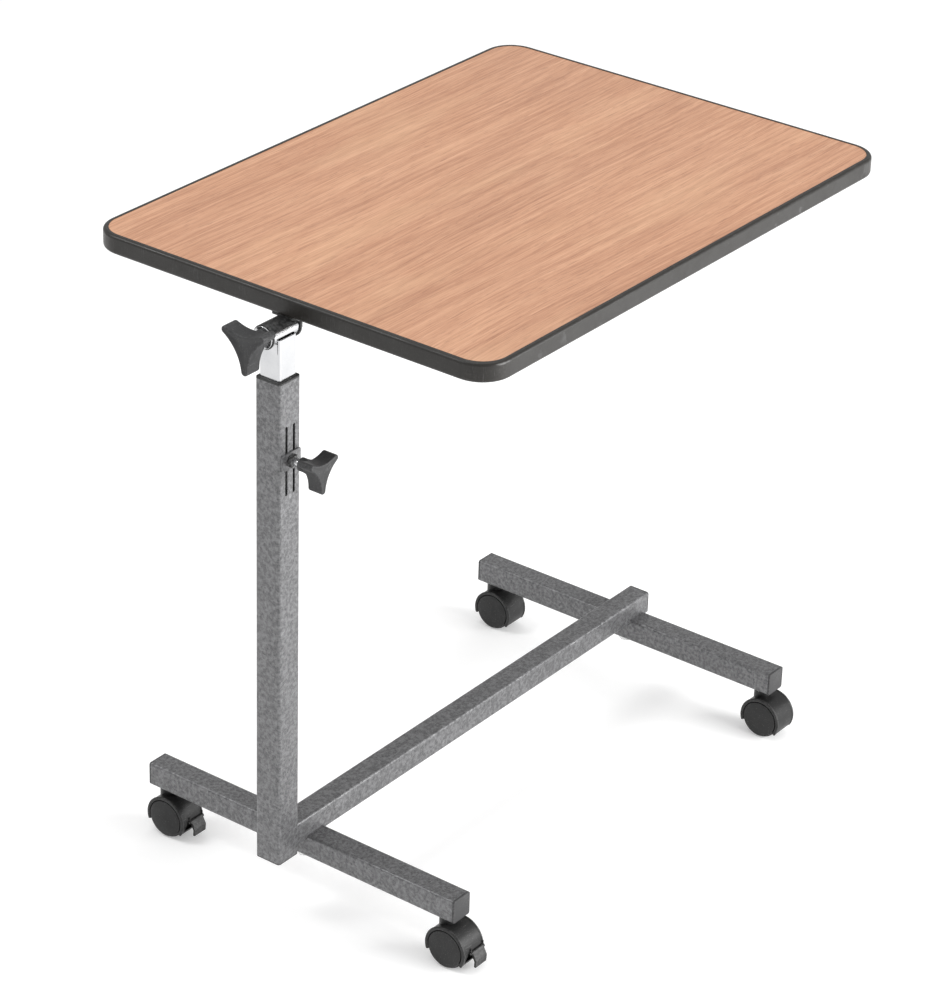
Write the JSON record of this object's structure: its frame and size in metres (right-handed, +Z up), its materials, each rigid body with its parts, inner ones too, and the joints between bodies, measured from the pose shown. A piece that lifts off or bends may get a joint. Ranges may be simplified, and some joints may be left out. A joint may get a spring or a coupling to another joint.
{
  "type": "overbed table",
  "caption": "Rolling overbed table: rounded wood-grain top on one side mast, telescoping square tube with clamp knob, tilting top, H-shaped tube base, twin-wheel swivel casters with brakes.",
  "frame": {"origin": "middle of the table's outline on the floor", "axes": "+Z up; +X along the base from the mast towards the far foot; +Y across, the height knob is on the -Y side"},
  "size_m": [0.66, 0.44, 0.6232],
  "materials": {
    "hammertone_paint": "silver-grey hammertone enamel",
    "chrome": "bright plated",
    "black_plastic": "moulded black",
    "cap_plastic": "moulded mid grey",
    "knob_plastic": "fine-grained charcoal",
    "black_steel": "satin black enamel",
    "dark_steel": "blackened",
    "zinc_steel": "zinc plated",
    "wood_laminate": "satin oak-grain laminate",
    "core_board": "raw particle board",
    "backing_sheet": "plain dark sheet",
    "edge_trim": "satin flexible edging",
    "caster_plastic": "satin black nylon",
    "wheel_plastic": "satin black nylon"
  },
  "bodies": {
    "base": {"mast_outer_tube": "hammertone_paint", "mast_bottom_plug": "black_plastic", "mast_top_bush": "black_plastic", "lock_nut_plate": "hammertone_paint", "lock_nut": "dark_steel", "spine_tube": "hammertone_paint", "spine_end_plug": "cap_plastic", "near_foot_tube": "hammertone_paint", "far_foot_tube": "hammertone_paint", "foot_end_caps": "cap_plastic", "foot_bolts": "zinc_steel", "spine_nuts": "zinc_steel", "caster_sockets": "zinc_steel"},
    "lift": {"inner_tube": "chrome", "inner_glide": "black_plastic", "tilt_sleeve": "chrome"},
    "top": {"tabletop_core": "core_board", "tabletop_laminate": "wood_laminate", "tabletop_backing": "backing_sheet", "tabletop_edge_trim": "edge_trim", "tilt_bracket": "black_steel", "bracket_screws": "zinc_steel", "tilt_end_nut": "dark_steel"},
    "tilt_clamp": {"tilt_washer": "chrome"},
    "tilt_knob": {"tilt_knob": "knob_plastic", "tilt_stud": "chrome"},
    "lock_clamp": {"lock_pad": "black_plastic"},
    "lock_knob": {"lock_knob": "knob_plastic", "lock_stud": "chrome"},
    "caster_near_right": {"caster_near_right_hood": "caster_plastic", "caster_near_right_stem": "zinc_steel", "caster_near_right_axle": "zinc_steel", "caster_near_right_lever_pin": "zinc_steel"},
    "caster_near_right_wheel_a": {"caster_near_right_wheel_a": "wheel_plastic"},
    "caster_near_right_wheel_b": {"caster_near_right_wheel_b": "wheel_plastic"},
    "caster_near_right_lever": {"caster_near_right_lever": "caster_plastic"},
    "caster_near_left": {"caster_near_left_hood": "caster_plastic", "caster_near_left_stem": "zinc_steel", "caster_near_left_axle": "zinc_steel", "caster_near_left_lever_pin": "zinc_steel"},
    "caster_near_left_wheel_a": {"caster_near_left_wheel_a": "wheel_plastic"},
    "caster_near_left_wheel_b": {"caster_near_left_wheel_b": "wheel_plastic"},
    "caster_near_left_lever": {"caster_near_left_lever": "caster_plastic"},
    "caster_far_right": {"caster_far_right_hood": "caster_plastic", "caster_far_right_stem": "zinc_steel", "caster_far_right_axle": "zinc_steel"},
    "caster_far_right_wheel_a": {"caster_far_right_wheel_a": "wheel_plastic"},
    "caster_far_right_wheel_b": {"caster_far_right_wheel_b": "wheel_plastic"},
    "caster_far_left": {"caster_far_left_hood": "caster_plastic", "caster_far_left_stem": "zinc_steel", "caster_far_left_axle": "zinc_steel"},
    "caster_far_left_wheel_a": {"caster_far_left_wheel_a": "wheel_plastic"},
    "caster_far_left_wheel_b": {"caster_far_left_wheel_b": "wheel_plastic"}
  },
  "joints": [
    {"name": "mast_lift", "type": "slide", "parent": "base", "child": "lift", "axis": [0, 0, 1], "range_m": [-0.03, 0.26]},
    {"name": "top_tilt", "type": "hinge", "parent": "lift", "child": "top", "pos_m": [-0.284, 0, 0.593], "axis": [1, 0, 0], "range_deg": [-40, 40]},
    {"name": "tilt_screw_travel", "type": "slide", "parent": "top", "child": "tilt_clamp", "axis": [-1, 0, 0], "range_m": [0, 0.00125]},
    {"name": "tilt_knob_turn", "type": "hinge", "parent": "tilt_clamp", "child": "tilt_knob", "pos_m": [-0.284, 0, 0.593], "axis": [-1, 0, 0], "range_deg": [0, 360]},
    {"name": "lock_screw_travel", "type": "slide", "parent": "base", "child": "lock_clamp", "axis": [0, -1, 0], "range_m": [0, 0.00125]},
    {"name": "lock_knob_turn", "type": "hinge", "parent": "lock_clamp", "child": "lock_knob", "pos_m": [-0.284, -0.014, 0.474], "axis": [0, -1, 0], "range_deg": [0, 360]},
    {"name": "caster_near_right_swivel", "type": "hinge", "parent": "base", "child": "caster_near_right", "pos_m": [-0.2435, -0.168, 0.045], "axis": [0, 0, 1], "continuous": true},
    {"name": "caster_near_right_wheel_a_spin", "type": "hinge", "parent": "caster_near_right", "child": "caster_near_right_wheel_a", "pos_m": [-0.2435, -0.175, 0.02], "axis": [1, 0, 0], "continuous": true},
    {"name": "caster_near_right_wheel_b_spin", "type": "hinge", "parent": "caster_near_right", "child": "caster_near_right_wheel_b", "pos_m": [-0.2435, -0.175, 0.02], "axis": [1, 0, 0], "continuous": true},
    {"name": "caster_near_right_lever_press", "type": "hinge", "parent": "caster_near_right", "child": "caster_near_right_lever", "pos_m": [-0.2435, -0.1976, 0.02], "axis": [1, 0, 0], "range_deg": [0, 14]},
    {"name": "caster_near_left_swivel", "type": "hinge", "parent": "base", "child": "caster_near_left", "pos_m": [-0.2435, 0.168, 0.045], "axis": [0, 0, 1], "continuous": true},
    {"name": "caster_near_left_wheel_a_spin", "type": "hinge", "parent": "caster_near_left", "child": "caster_near_left_wheel_a", "pos_m": [-0.2435, 0.161, 0.02], "axis": [1, 0, 0], "continuous": true},
    {"name": "caster_near_left_wheel_b_spin", "type": "hinge", "parent": "caster_near_left", "child": "caster_near_left_wheel_b", "pos_m": [-0.2435, 0.161, 0.02], "axis": [1, 0, 0], "continuous": true},
    {"name": "caster_near_left_lever_press", "type": "hinge", "parent": "caster_near_left", "child": "caster_near_left_lever", "pos_m": [-0.2435, 0.1384, 0.02], "axis": [1, 0, 0], "range_deg": [0, 14]},
    {"name": "caster_far_right_swivel", "type": "hinge", "parent": "base", "child": "caster_far_right", "pos_m": [0.2715, -0.168, 0.045], "axis": [0, 0, 1], "continuous": true},
    {"name": "caster_far_right_wheel_a_spin", "type": "hinge", "parent": "caster_far_right", "child": "caster_far_right_wheel_a", "pos_m": [0.2715, -0.175, 0.02], "axis": [1, 0, 0], "continuous": true},
    {"name": "caster_far_right_wheel_b_spin", "type": "hinge", "parent": "caster_far_right", "child": "caster_far_right_wheel_b", "pos_m": [0.2715, -0.175, 0.02], "axis": [1, 0, 0], "continuous": true},
    {"name": "caster_far_left_swivel", "type": "hinge", "parent": "base", "child": "caster_far_left", "pos_m": [0.2715, 0.168, 0.045], "axis": [0, 0, 1], "continuous": true},
    {"name": "caster_far_left_wheel_a_spin", "type": "hinge", "parent": "caster_far_left", "child": "caster_far_left_wheel_a", "pos_m": [0.2715, 0.161, 0.02], "axis": [1, 0, 0], "continuous": true},
    {"name": "caster_far_left_wheel_b_spin", "type": "hinge", "parent": "caster_far_left", "child": "caster_far_left_wheel_b", "pos_m": [0.2715, 0.161, 0.02], "axis": [1, 0, 0], "continuous": true}
  ],
  "couplings": [
    {"joint": "tilt_knob_turn", "follows": "tilt_screw_travel", "rad_per_m": 5026.5},
    {"joint": "lock_knob_turn", "follows": "lock_screw_travel", "rad_per_m": 5026.5}
  ]
}
